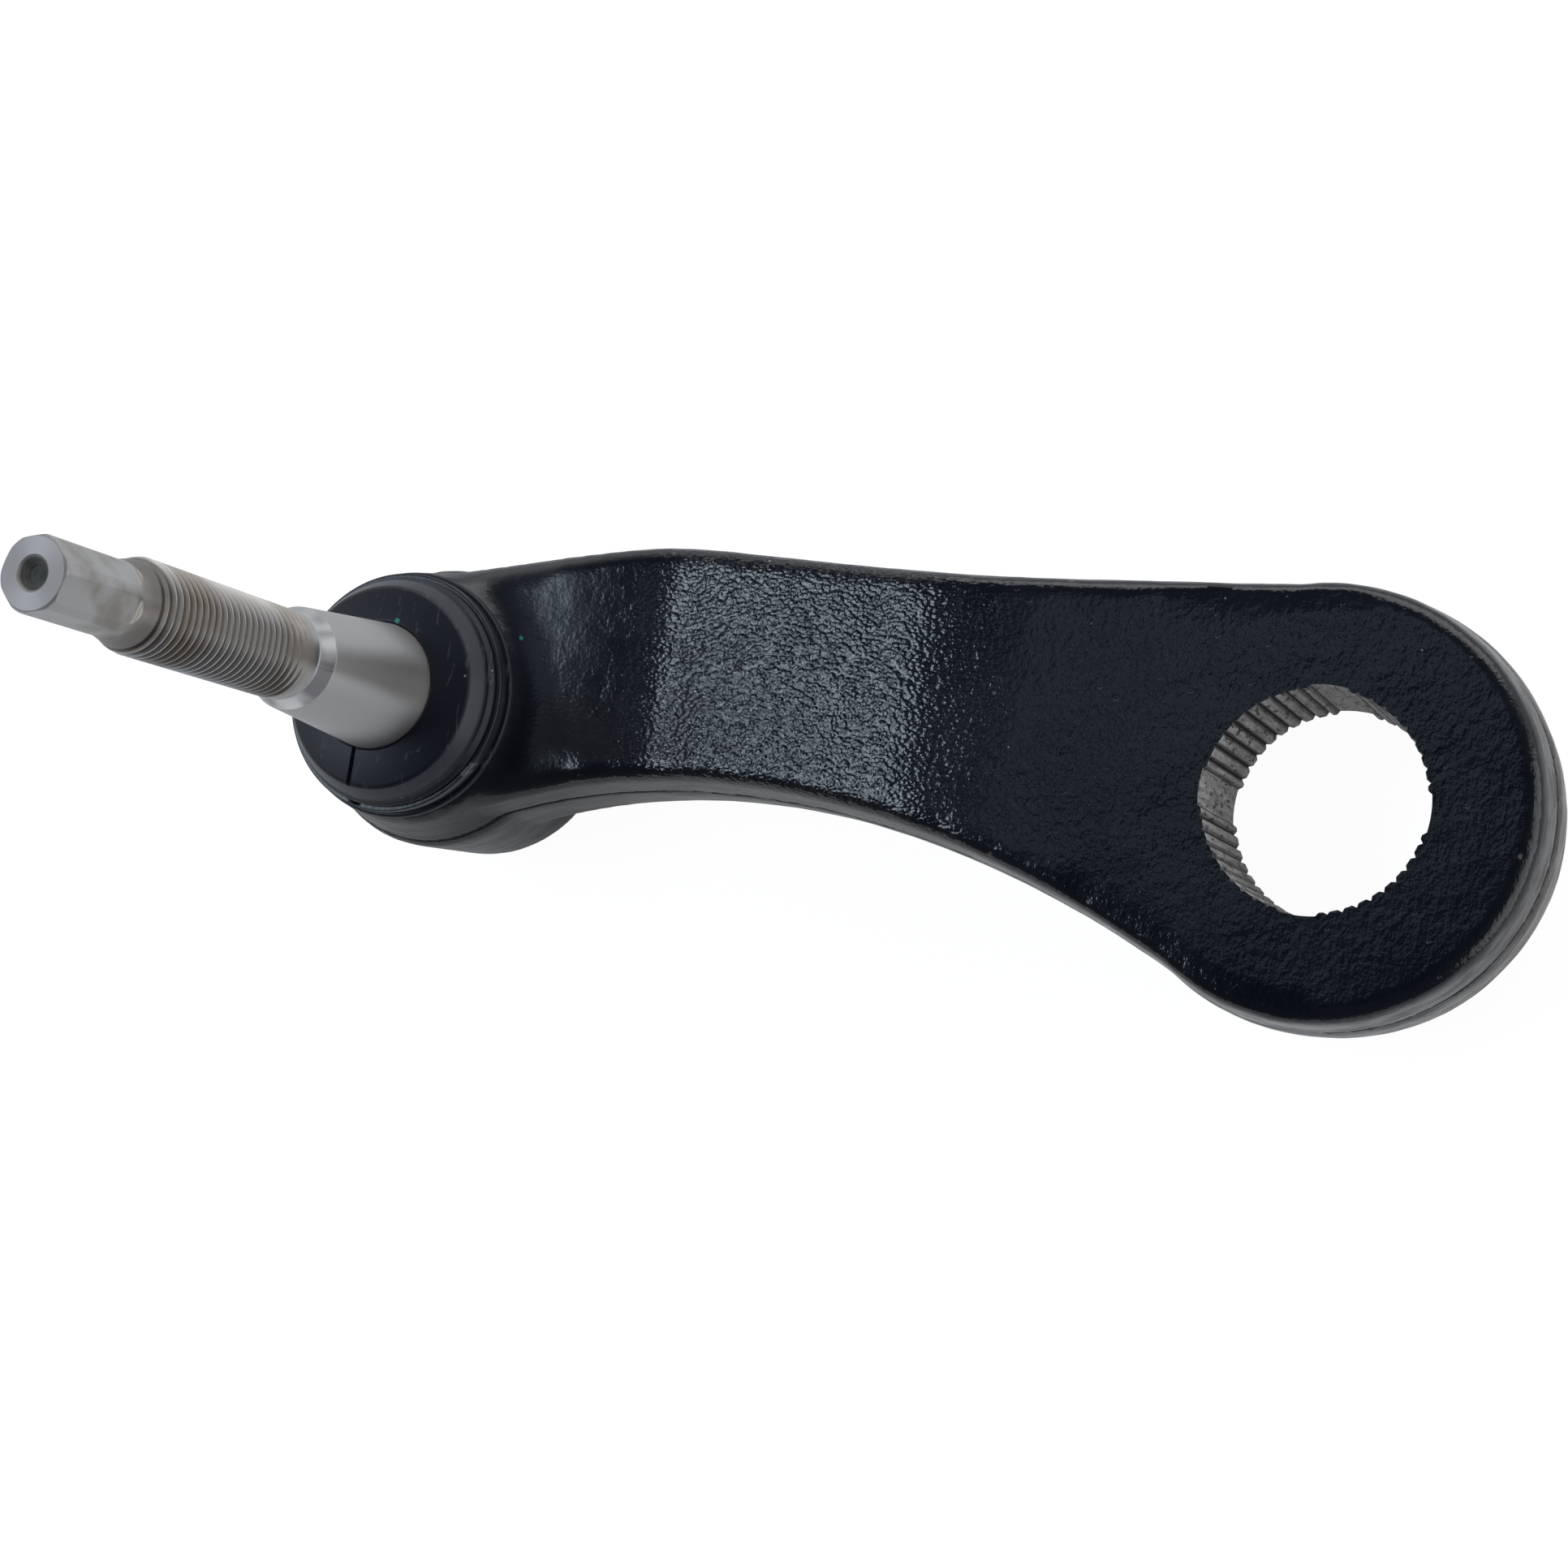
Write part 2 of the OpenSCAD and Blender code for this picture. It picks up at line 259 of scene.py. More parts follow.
plugs = [plug(0, 17.5, -EYE_T, 0), plug(STUD_X, 20.6, SOCKET_END, -6), plug(STUD_X, 15.6, -8, -2.4)]
take(arm)
for piece in plugs:
    piece.select_set(True)
bpy.ops.object.join()
modify(arm, "REMESH", mode="VOXEL", voxel_size=VOXEL * MM, adaptivity=0)
print("forging:", len(arm.data.vertices), "vertices after the remesh")

# %% Blend the creases and tighten the bends
WEB_BENDS = ((-62, 0.26, 9), (-106, -0.2, 7))

lumps = bpy.data.textures.new("hammered_lumps", "CLOUDS")
lumps.noise_scale = 14 * MM
lumps.noise_depth = 2
ripple = bpy.data.textures.new("scale_ripple", "CLOUDS")
ripple.noise_scale = 3.2 * MM
ripple.noise_depth = 1

modify(arm, "SMOOTH", factor=0.5, iterations=8)
edit(arm)
crease = choose(arm, "VERT", lambda p, n: 27 < hypot(p.x, p.y) < 38 and p.x < 4 and abs(n.z) > 0.9)
bpy.ops.mesh.vertices_smooth(factor=0.5, repeat=60)
for reach, repeat in ((33, 40), (40, 12)):
    rim = choose(arm, "VERT", lambda p, n: 19.5 < hypot(p.x - STUD_X, p.y) < reach and p.x > STUD_X + 4
                 and p.z > -11 and n.z > 0.3)
    bpy.ops.mesh.vertices_smooth(factor=0.5, repeat=repeat)
for bend_x, lift, reach in WEB_BENDS:
    choose(arm, "VERT", lambda p, n: abs(p.x - bend_x) < 0.6 and n.z > 0.9)
    bpy.ops.transform.translate(value=(0, 0, lift * MM), use_proportional_edit=True,
                                proportional_edit_falloff="SMOOTH", proportional_size=reach * MM)
bpy.ops.object.mode_set(mode="OBJECT")
print("blended:", crease, "vertices round the eye,", rim, "round the socket")

# %% Press in the parting line and roughen the skin
PARTING_Z, WEB_DROP = -8.6, 7.0
DROP_FROM, DROP_TO = -42.3, -110.4
PARTING_DEPTH = 0.16


def on_parting(p, n):
    along = min(max((p.x - DROP_TO) / (DROP_FROM - DROP_TO), 0), 1)
    dropped = WEB_DROP * (1 - along * along * (3 - 2 * along))
    return abs(n.z) < 0.4 and abs(p.z - PARTING_Z + dropped) < 0.5


edit(arm)
parting = choose(arm, "VERT", on_parting)
bpy.ops.transform.shrink_fatten(value=-PARTING_DEPTH * MM)
bpy.ops.object.mode_set(mode="OBJECT")
print("parting line:", parting, "vertices")
modify(arm, "DISPLACE", texture=lumps, texture_coords="LOCAL", strength=0.2 * MM, mid_level=0.62)
modify(arm, "DISPLACE", texture=ripple, texture_coords="LOCAL", strength=0.07 * MM, mid_level=0.55)

# %% [markdown]
# ## The serrated bore
# The bore is broached: small V grooves, 48 to the circle, grip the steering box's shaft, and four wide master
# grooves let it go on in only four ways. The tool that cuts it is modelled once. It is a circle with four corners
# to each serration, and the corner in the middle of each groove is pushed out to the groove's depth by a resize
# about the axis. In a master groove all corners are pushed out, from flank to flank. Then the outline is extruded
# through the eye. A cone takes the sharp edge off the lands at the mouth, so that the shaft finds its way in.

# %% Broach the bore
LAND_R = 15.73
VALLEY_R = 16.27
PITCH = 7.5
MASTER_HALF = 9.4
MOUTH_DEPTH, MOUTH_LOW, MOUTH_HIGH = 1.2, -0.48, 0.72

clear()
bpy.ops.mesh.primitive_circle_add(vertices=192, radius=LAND_R * MM, fill_type="NGON", location=(0, 0, 0))
broach = bpy.context.object
edit(broach)


def in_groove(place, normal):
    turned = degrees(atan2(place.y, place.x)) % 90
    master = min(turned, 90 - turned)
    return master < MASTER_HALF or (master > 1.6 * PITCH and min(turned % PITCH, PITCH - turned % PITCH) < 0.5)


grooved = choose(broach, "VERT", in_groove)
bpy.ops.transform.resize(value=(VALLEY_R / LAND_R, VALLEY_R / LAND_R, 1), center_override=(0, 0, 0))
bpy.ops.mesh.select_all(action="SELECT")
bpy.ops.transform.translate(value=(0, 0, -(EYE_T + 2) * MM))
bpy.ops.mesh.extrude_region_move(TRANSFORM_OT_translate={"value": (0, 0, (EYE_T + 4) * MM)})
bpy.ops.mesh.select_all(action="SELECT")
bpy.ops.mesh.normals_make_consistent(inside=False)
bpy.ops.object.mode_set(mode="OBJECT")
cut(arm, broach)

clear()
bpy.ops.mesh.primitive_cone_add(vertices=192, radius1=(LAND_R + MOUTH_LOW) * MM, radius2=(LAND_R + MOUTH_HIGH) * MM,
                                depth=MOUTH_DEPTH * MM, location=(0, 0, 0))
cut(arm, bpy.context.object)
print("bore:", grooved, "corners pushed out,", triangles(arm), "triangles")

# %% Bore the socket
socket_tool = turn("socket_tool", [(0, 0), (15.6, 0), (14.9, -2.4), (13.5, -5), (13.5, -8.21), (19, -8.21),
                                   (19, -35.5), (20.2, -35.5), (20.2, -37.3), (18.5, -37.3), (18.5, -42), (0, -42)])
cut(arm, socket_tool)
smooth(arm, 30)
print("forging with its bores:", triangles(arm), "triangles")

# %% [markdown]
# ## The ball stud
# The stud is turned from bar, ground on its taper and threaded: ball, neck, shoulder, taper, a bright chamfer, the
# thread, a lead cone and a plain tip. The turned blank is one profile on the lathe. The thread is real geometry: a
# wedge-shaped cutter follows a helix, made by the Screw modifier, and is cut out of the blank. At its lower end the
# wedge is drawn out of the metal, as a die leaves it, so that the groove fades instead of stopping dead.

# %% Turn the blank
BALL_Z = -16.5
BALL_R = 15.5
TAPER_TOP, CHAMFER_TOP, RUNOUT_TOP, LEAD_Z, TIP_Z, STUD_TOP = 28.4, 31.0, 34.0, 68.2, 72.6, 89.0
RUNOUT_R, THREAD_R, TIP_R = 6.8, 7.0, 5.5
NECK_R = 8.75

neck_turn = degrees(atan2((BALL_R ** 2 - NECK_R ** 2) ** 0.5, NECK_R))
blank = arc((0, BALL_Z), BALL_R, -90, neck_turn, 28)
blank += [(NECK_R, -1.5), (10.3, 1.5), (10.3, 4.6), (10.25, 5.0), (8.08, TAPER_TOP - 0.3), (7.96, TAPER_TOP + 0.05),
          (6.95, CHAMFER_TOP - 0.2), (RUNOUT_R, CHAMFER_TOP + 0.2), (RUNOUT_R, RUNOUT_TOP - 0.3),
          (THREAD_R, RUNOUT_TOP), (THREAD_R, LEAD_Z - 0.5), (6.75, LEAD_Z + 0.2),
          (6.3, LEAD_Z + 1.5), (5.8, TIP_Z - 0.9), (5.6, TIP_Z - 0.2),
          (TIP_R, TIP_Z + 0.4), (TIP_R, STUD_TOP - 0.55), (TIP_R - 0.12, STUD_TOP - 0.2), (TIP_R - 0.5, STUD_TOP),
          (2.6, STUD_TOP), (2.4, STUD_TOP - 0.15), (1.3, STUD_TOP - 1.2), (0, STUD_TOP - 1.3)]
stud = turn("stud", blank, steps=128)
print("blank:", triangles(stud), "triangles")

# %% Cut the thread
THREAD_PITCH = 1.5
FIRST_Z = 33.5
TURNS = 25
STEPS_A_TURN = 64
WEDGE_CORNERS = [(6.12, -0.1), (7.14, -0.72), (7.14, 0.72), (6.12, 0.1)]
FADE, FADE_REACH = 1.17, 7

clear()
bpy.ops.mesh.primitive_circle_add(vertices=4, radius=MM, fill_type="NOTHING", location=(0, 0, 0))
wedge = bpy.context.object
wedge.name = "thread_wedge"
edit(wedge)
mesh = bmesh.from_edit_mesh(wedge.data)
for vertex, (r, z) in zip(mesh.verts, WEDGE_CORNERS):
    vertex.co = (r * MM, 0, (FIRST_Z + z) * MM)
bmesh.update_edit_mesh(wedge.data)
bpy.ops.object.mode_set(mode="OBJECT")
modify(wedge, "SCREW", axis="Z", angle=2 * pi, screw_offset=THREAD_PITCH * MM, iterations=TURNS,
       steps=STEPS_A_TURN, render_steps=STEPS_A_TURN, use_merge_vertices=False)
edit(wedge)
bpy.ops.mesh.select_all(action="SELECT")
bpy.ops.mesh.fill_holes(sides=8)
bpy.ops.mesh.select_all(action="SELECT")
bpy.ops.mesh.normals_make_consistent(inside=False)
choose(wedge, "VERT", lambda p, n: abs(p.y) < 0.01 and p.z < FIRST_Z + 0.73 and p.x > 0)
bpy.ops.transform.resize(value=(FADE, FADE, 1), center_override=(0, 0, 0), use_proportional_edit=True,
                         proportional_edit_falloff="SMOOTH", proportional_size=FADE_REACH * MM)
bpy.ops.mesh.select_all(action="SELECT")
bpy.ops.transform.translate(value=(STUD_X * MM, 0, 0))
bpy.ops.object.mode_set(mode="OBJECT")
cut(stud, wedge)
print("thread:", triangles(stud), "triangles")

# %% [markdown]
# ## The wrench flats
# Six flats are milled on the tip, so that the stud can be held while its nut is turned. Each flat is left by a
# milling cutter that runs out in a curve towards the thread. The cutter is a block with a rounded lower edge, made by
# bevelling an edge of a cube. It is made anew for each flat, sixty degrees further round, and cut in its turn.

# %% Mill the flats
FLATS = 10.2
FLATS_TURN = -17
FLATS_END = TIP_Z - 1.2
MILL_ROUND = 2.4

for side in range(6):
    mill = block((6, 14, 20), (FLATS / 2 + 3, 0, FLATS_END + 10))
    choose(mill, "EDGE", lambda p, n: abs(p.x - FLATS / 2) < 0.1 and abs(p.z - FLATS_END) < 0.1)
    bpy.ops.mesh.bevel(offset=MILL_ROUND * MM, segments=6, profile=0.5)
    carry_to_stud(60 * side + FLATS_TURN)
    cut(stud, mill)
smooth(stud, 20)
print("stud:", triangles(stud), "triangles")

# %% [markdown]
# ## The rubber boot
# The boot keeps grease in and grit out. It is moulded rubber: a thick flat cap that grips the stud, a short bellows
# under it and a lip that sits on the socket. It is turned from one section whose corners are rounded by a bevel,
# because rubber has no sharp edges. A shallow vent runs across the cap, cut by a rounded bar.

# %% Mould the boot
CROWN_IN, CROWN_OUT = (10.7, 4.7), (16.2, 3.32)
CROWN = atan2(CROWN_IN[1] - CROWN_OUT[1], CROWN_OUT[0] - CROWN_IN[0])
VENT_TURN = -99

boot_section = [(10.35, 1.5), (10.35, 4.5), CROWN_IN, CROWN_OUT, (16.65, 3.0), (18.05, 0.8), (18.25, 0.4),
                (18.25, -0.2), (18.95, -0.9), (18.95, -1.37), (18.52, -1.37), (18.52, -3.63), (20.1, -3.63),
                (20.4, -4.0), (20.4, -4.6), (20.1, -4.97), (16.83, -4.97), (16.83, -2.1), (16.2, -1.5),
                (16.2, 0.6), (15.2, 1.5)]
boot = turn("boot", boot_section, steps=144, closed=True)
modify(boot, "BEVEL", width=0.28 * MM, segments=3, limit_method="ANGLE", angle_limit=radians(14))

vent = block((7.4, 0.8, 2), (2.6, 0, 0.4))
choose(vent, "EDGE", lambda p, n: abs(p.z + 0.6) < 0.01 and abs(abs(p.y) - 0.4) < 0.01)
bpy.ops.mesh.bevel(offset=0.3 * MM, segments=4)
bpy.ops.mesh.select_all(action="SELECT")
bpy.ops.transform.rotate(value=-CROWN, orient_axis="Y", center_override=(0, 0, 0))
bpy.ops.transform.translate(value=(CROWN_IN[0] * MM, 0, CROWN_IN[1] * MM))
carry_to_stud(VENT_TURN)
cut(boot, vent)
smooth(boot, 30)
print("boot:", triangles(boot), "triangles")

# %% [markdown]
# ## The boot ring
# A flat spring band holds the boot's lip in its groove. It is a split ring, so a small gap shows between its ends.
# A closed section is turned, the gap is cut by a small block, and a bevel takes the edge off all of it.

# %% Wind the ring
GAP_TURN = -101

ring = turn("ring_band", [(18.55, -3.6), (19.7, -3.6), (19.7, -1.4), (18.55, -1.4)], steps=120, closed=True)
gap = block((8, 2, 6), (19, 0, -2.5))
carry_to_stud(GAP_TURN)
cut(ring, gap)
modify(ring, "BEVEL", width=0.22 * MM, segments=3, limit_method="ANGLE", angle_limit=radians(40))
smooth(ring, 30)
print("ring:", triangles(ring), "triangles")

# %% [markdown]
# ## The cover plate
# A pressed steel plate closes the socket from behind, under an edge that is rolled over it. It has a shallow round
# dish in its middle. It is turned from its section, with a bevel for the press radius.

# %% Press the cover
cover = turn("cover", [(0, -36.66), (8.4, -36.66), (9.2, -37.27), (20.17, -37.27), (20.17, -35.53), (0, -35.53)],
             steps=128)
modify(cover, "BEVEL", width=0.3 * MM, segments=3, limit_method="ANGLE", angle_limit=radians(25))
smooth(cover, 30)
print("cover:", triangles(cover), "triangles")

# %% [markdown]
# ## Nodes for finishes
# A finish is a small graph of nodes. wire() links or sets the inputs of a node, put() adds a node and wires it in
# one line, and a few short helpers stand for the nodes that come up most. All patterns are read from Object
# coordinates, in metres, so a scale of 700 means detail about a millimetre and a half across.

# %% Helpers for materials
def wire(tree, node, inputs):
    """Links or sets a node's inputs, given by name or in their order."""
    for key, value in inputs.items() if isinstance(inputs, dict) else enumerate(inputs):
        if isinstance(value, bpy.types.NodeSocket):
            tree.links.new(value, node.inputs[key])
        else:
            node.inputs[key].default_value = value
    return node


def put(tree, kind, inputs=(), **settings):
    node = tree.nodes.new("ShaderNode" + kind)
    for name, value in settings.items():
        setattr(node, name, value)
    return wire(tree, node, inputs)


def calc(tree, operation, a, b=0.0, c=0.0):
    return put(tree, "Math", (a, b, c), operation=operation).outputs[0]


def ramp(tree, value, low, high, start=0.0, end=1.0):
    """A soft step: start below low, end above high."""
    return put(tree, "MapRange", (value, low, high, start, end), interpolation_type="SMOOTHSTEP").outputs[0]


def band(tree, value, rise, fall):
    """A soft band: up over the first pair of values, down over the second."""
    return calc(tree, "MULTIPLY", ramp(tree, value, *rise), ramp(tree, value, *fall, 1.0, 0.0))


def from_axis(tree, xyz, axis_x):
    """How far a point is from an upright axis."""
    across = calc(tree, "SUBTRACT", xyz[0], axis_x)
    squares = [calc(tree, "POWER", side, 2.0) for side in (across, xyz[1])]
    return calc(tree, "SQRT", calc(tree, "ADD", *squares))


def tint(tree, share, first, second):
    return put(tree, "Mix", {0: share, 6: first, 7: second}, data_type="RGBA").outputs[2]


def noise(tree, place, scale, detail=2.0, rough=0.5, warp=0.0):
    return put(tree, "TexNoise", {"Vector": place, "Scale": scale, "Detail": detail, "Roughness": rough,
                                  "Distortion": warp}).outputs[0]


def stretch(tree, place, scale):
    return put(tree, "Mapping", {"Vector": place, "Scale": scale}).outputs[0]


def finish_group(name, ins, outs):
    """Starts a node group with named sockets: ins and outs map a name to a socket kind."""
    group = bpy.data.node_groups.new(name, "ShaderNodeTree")
    for title, kind in ins.items():
        group.interface.new_socket(title, in_out="INPUT", socket_type="NodeSocket" + kind)
    for title, kind in outs.items():
        group.interface.new_socket(title, in_out="OUTPUT", socket_type="NodeSocket" + kind)
    return group, group.nodes.new("NodeGroupInput"), group.nodes.new("NodeGroupOutput")


def place_group(tree, group, inputs):
    node = tree.nodes.new("ShaderNodeGroup")
    node.node_tree = group
    return wire(tree, node, inputs)


def material(name):
    """A new material: its tree, its shader and its Object coordinates."""
    made = bpy.data.materials.new(name)
    made.use_nodes = True
    tree = made.node_tree
    shader = tree.nodes["Principled BSDF"]
    return made, tree, shader, tree.nodes.new("ShaderNodeTexCoord").outputs["Object"]


def emboss(tree, shader, strength, distance, height):
    """Bends the shader's normal by a height."""
    bump = put(tree, "Bump", {"Strength": strength, "Distance": distance, "Height": height})
    wire(tree, shader, {"Normal": bump.outputs[0]})


def spot(tree, place, centre, radius):
    """A ragged round mark about a point of the part. Millimetres."""
    away = put(tree, "VectorMath", (place, [v * MM for v in centre]), operation="DISTANCE").outputs["Value"]
    ragged = calc(tree, "MULTIPLY_ADD", noise(tree, place, 1800.0, 2), 0.0006, away)
    return ramp(tree, ragged, (radius + 0.28) * MM, (radius + 0.33) * MM, 1.0, 0.0)


def grey(value):
    return (value, value, value, 1)


def dress(piece, *finishes):
    """Gives a piece its finishes. A Boolean leaves an empty slot behind, so the slots are cleared first."""
    piece.data.materials.clear()
    for finish in finishes:
        piece.data.materials.append(finish)


# %% [markdown]
# ## Two effects shared by several finishes
# Paint over a forged skin dries with an orange-peel surface, and the whole part has picked up a little pale dust in
# the workshop. Both effects are used by more than one finish, so each is a node group that is built once.

# %% Orange peel and dust
peel, peel_in, peel_out = finish_group("orange_peel", {"Place": "Vector", "Size": "Float"}, {"Height": "Float"})
grain = put(peel, "TexVoronoi", {"Vector": peel_in.outputs["Place"], "Scale": peel_in.outputs["Size"],
                                 "Smoothness": 0.35, "Randomness": 1.0}, feature="SMOOTH_F1").outputs["Distance"]
warp = noise(peel, peel_in.outputs["Place"], calc(peel, "MULTIPLY", peel_in.outputs["Size"], 0.8), 3, 0.55, 0.4)
wire(peel, peel_out, {"Height": calc(peel, "MULTIPLY_ADD", grain, -0.9, calc(peel, "MULTIPLY", warp, 0.8))})

dust, dust_in, dust_out = finish_group("dust_specks", {"Place": "Vector", "Share": "Float"}, {"Mask": "Float"})
cells = put(dust, "TexVoronoi", {"Vector": dust_in.outputs["Place"], "Scale": 420.0}, feature="F1")
dot = ramp(dust, cells.outputs["Distance"], 0.05, 0.1, 1.0, 0.0)
lucky = put(dust, "SeparateColor", [cells.outputs["Color"]]).outputs[0]
kept = calc(dust, "LESS_THAN", lucky, dust_in.outputs["Share"])
wire(dust, dust_out, {"Mask": calc(dust, "MULTIPLY", dot, kept)})
print("groups:", [group.name for group in bpy.data.node_groups])

# %% [markdown]
# ## Black paint on the forging
# The arm is dipped in a blue-black paint. It is glossy, but the forged skin under it breaks every reflection into
# beads, coarsest on the sloping middle of the arm. Each trait is a mask with soft ends, read from where a point is
# and which way it faces: the slope, the walls, the eye. The relief comes first, in the order in which it was made,
# from the broad hammered skin to the fine grain and the pits, and then the line where the two dies met.

# %% Forging paint: relief
TEAL = (0.02, 0.24, 0.17, 1)

paint, tree, shader, place = material("forging_paint")
xyz = put(tree, "SeparateXYZ", [place]).outputs
normal_z = put(tree, "SeparateXYZ", [tree.nodes["Texture Coordinate"].outputs["Normal"]]).outputs[2]
slope = band(tree, xyz[0], (-0.117, -0.102), (-0.062, -0.042))
drawn = put(tree, "Mapping", {"Vector": place, "Rotation": (0, 0, radians(-52)),
                              "Scale": (0.58, 1.0, 1.0)}).outputs[0]
skin = place_group(tree, peel, {"Place": drawn, "Size": 1850.0}).outputs[0]
broad = noise(tree, place, 190.0, 2, 0.5)
eye_skin = ramp(tree, xyz[0], -0.058, -0.035)
depth = calc(tree, "MULTIPLY_ADD", slope, 0.5, calc(tree, "MULTIPLY_ADD", eye_skin, -0.01, 0.09))
fine = noise(tree, stretch(tree, place, (1.15, 0.75, 1.0)), 900.0, 3, 0.6)
fine = calc(tree, "MULTIPLY", fine, calc(tree, "MULTIPLY_ADD", eye_skin, 0.4, 0.2))
height = calc(tree, "MULTIPLY_ADD", skin, depth, calc(tree, "MULTIPLY_ADD", broad, 0.3, fine))
pits = place_group(tree, dust, {"Place": stretch(tree, drawn, (0.9, 1.3, 1.0)), "Share": 0.4}).outputs[0]
height = calc(tree, "MULTIPLY_ADD", pits, -0.5, height)
walls = ramp(tree, calc(tree, "ABSOLUTE", normal_z), 0.35, 0.6, 1.0, 0.0)
dropped = ramp(tree, xyz[0], DROP_TO * MM, DROP_FROM * MM, 1.0, 0.0)
middle = calc(tree, "MULTIPLY_ADD", dropped, -WEB_DROP * MM, PARTING_Z * MM)
wander = calc(tree, "MULTIPLY_ADD", noise(tree, place, 60.0, 3), 0.0008, -0.0004)
off_line = calc(tree, "ABSOLUTE", calc(tree, "ADD", calc(tree, "SUBTRACT", xyz[2], middle), wander))
line = calc(tree, "MULTIPLY", ramp(tree, off_line, 0.0001, 0.0005, 1.0, 0.0), walls)
height = calc(tree, "MULTIPLY_ADD", line, -1.2, height)
emboss(tree, shader, 1.0, 0.00019, height)

# %% [markdown]
# The colour follows. The paint is chipped to brown primer in a few places along the eye's edge, dust lies on it, and
# two small flecks of teal paint have landed on the part, one beside the boot and one on the boot itself. On the
# walls the paint ran while it was wet: a glossy coat in streaks, with duller film between them. A Coat Weight that
# follows a stretched noise gives just that, and it shows most where the wall is seen at a low angle.

# %% Forging paint: colour and gloss
edge = band(tree, normal_z, (0.35, 0.55), (0.85, 0.95))
chips = calc(tree, "MULTIPLY", edge, ramp(tree, noise(tree, place, 210.0, 3, 0.6), 0.7, 0.73))
chips = calc(tree, "MAXIMUM", chips, spot(tree, place, (28.7, -4.3, -0.2), 0.35))
specks = place_group(tree, dust, {"Place": place, "Share": 0.03}).outputs[0]
mottle = ramp(tree, noise(tree, place, 45.0, 4, 0.6), 0.3, 0.7)
colour = tint(tree, mottle, (0.0045, 0.0062, 0.0105, 1), (0.0075, 0.0096, 0.0150, 1))
film = ramp(tree, noise(tree, stretch(tree, place, (0.32, 0.32, 1.2)), 420.0, 5, 0.65), 0.43, 0.60)
colour = tint(tree, calc(tree, "MULTIPLY", walls, film), colour, (0.022, 0.021, 0.021, 1))
# The parting line is tinted almost black: painted shade in the groove pressed in along it.
colour = tint(tree, line, colour, grey(0.003))
colour = tint(tree, chips, colour, (0.11, 0.075, 0.055, 1))
colour = tint(tree, specks, colour, grey(0.32))
colour = tint(tree, spot(tree, place, (-132.4, 11.7, -6.5), 0.35), colour, TEAL)
satin = calc(tree, "MULTIPLY", ramp(tree, xyz[0], -0.128, -0.115, 1.0, 0.0), 0.12)
rough = calc(tree, "MULTIPLY_ADD", walls, 0.2, calc(tree, "ADD", satin, 0.09))
rough = calc(tree, "MULTIPLY_ADD", mottle, 0.05, calc(tree, "MULTIPLY_ADD", slope, -0.03, rough))
rough = calc(tree, "MULTIPLY_ADD", calc(tree, "ADD", chips, specks), 0.3, rough)
rough = calc(tree, "MULTIPLY_ADD", line, 0.5, rough)
wet = calc(tree, "MULTIPLY", walls, calc(tree, "MULTIPLY_ADD", film, -0.64, 0.66))
wet = calc(tree, "MULTIPLY", wet, calc(tree, "MULTIPLY_ADD", eye_skin, 0.65, 0.3))
wet = calc(tree, "MULTIPLY", wet, calc(tree, "SUBTRACT", 1.0, line))
wire(tree, shader, {"Base Color": colour, "Roughness": rough, "IOR": 1.5, "Coat Weight": wet, "Coat Roughness": 0.14})
print("paint:", len(tree.nodes), "nodes")

# %% [markdown]
# ## Bare steel in the bores
# The bore was broached after painting, so it is bare: grey lands, painted shade on the flanks and in the valleys,
# oily streaks along the grooves and small pits. Stretching a noise along Z turns its blotches into streaks that
# follow the broach. How far a point is from the bore's axis, and whether it faces the axis squarely, tells a land
# from a flank.

# %% Bored steel
bored, tree, shader, place = material("bored_steel")
streaks = noise(tree, stretch(tree, place, (1.0, 1.0, 0.12)), 1500.0, 3, 0.6)
pits = ramp(tree, noise(tree, stretch(tree, place, (1.0, 1.0, 0.35)), 900.0, 4, 0.65, 0.6), 0.55, 0.62)
xyz = put(tree, "SeparateXYZ", [place]).outputs
reach = from_axis(tree, xyz, 0.0)
facing = put(tree, "VectorMath", (place, tree.nodes["Texture Coordinate"].outputs["Normal"]),
             operation="DOT_PRODUCT")
square = calc(tree, "ABSOLUTE", calc(tree, "DIVIDE", facing.outputs["Value"], reach))
flank = calc(tree, "MULTIPLY", ramp(tree, square, 0.8, 0.95, 1.0, 0.0), ramp(tree, reach, 0.0157, 0.0159))
valley = calc(tree, "MULTIPLY", flank, ramp(tree, reach, 0.01602, 0.01618))
cracks = noise(tree, stretch(tree, place, (1.0, 1.0, 0.5)), 620.0, 4, 0.6, 1.5)
crack = band(tree, cracks, (0.475, 0.495), (0.495, 0.515))
# The valleys' painted shade is joined with thin dark crack lines, which are real marks.
valley_shade_and_cracks = calc(tree, "MAXIMUM", valley, calc(tree, "MULTIPLY", crack, 0.7))
shade = calc(tree, "MULTIPLY", flank, calc(tree, "MULTIPLY_ADD", streaks, -0.8, 1.2))
colour = tint(tree, ramp(tree, streaks, 0.25, 0.7), (0.24, 0.24, 0.245, 1), (0.64, 0.63, 0.62, 1))
# Painted shade: the flanks are tinted darker, and the valleys almost black.
colour = tint(tree, shade, colour, (0.11, 0.112, 0.12, 1))
colour = tint(tree, valley_shade_and_cracks, colour, (0.012, 0.013, 0.016, 1))
colour = tint(tree, pits, colour, (0.02, 0.022, 0.028, 1))
rough = calc(tree, "MULTIPLY_ADD", streaks, 0.25, 0.35)
wire(tree, shader, {"Base Color": colour, "Roughness": rough, "Metallic": 0.6})
emboss(tree, shader, 0.7, 0.00008, calc(tree, "SUBTRACT", streaks, pits))
print("bored steel:", len(tree.nodes), "nodes")


# %% Paint outside, bare steel in the bores
def is_bored(p, n):
    in_bore = hypot(p.x, p.y) < VALLEY_R + 0.06 and abs(n.z) < 0.85
    from_stud = hypot(p.x - STUD_X, p.y)
    in_socket = from_stud < 20.3 and -37.35 < p.z < -2.3 and (from_stud < 19.05 or p.z < -35.4)
    return in_bore or (in_socket and not (from_stud > 14.95 and p.z > -5))


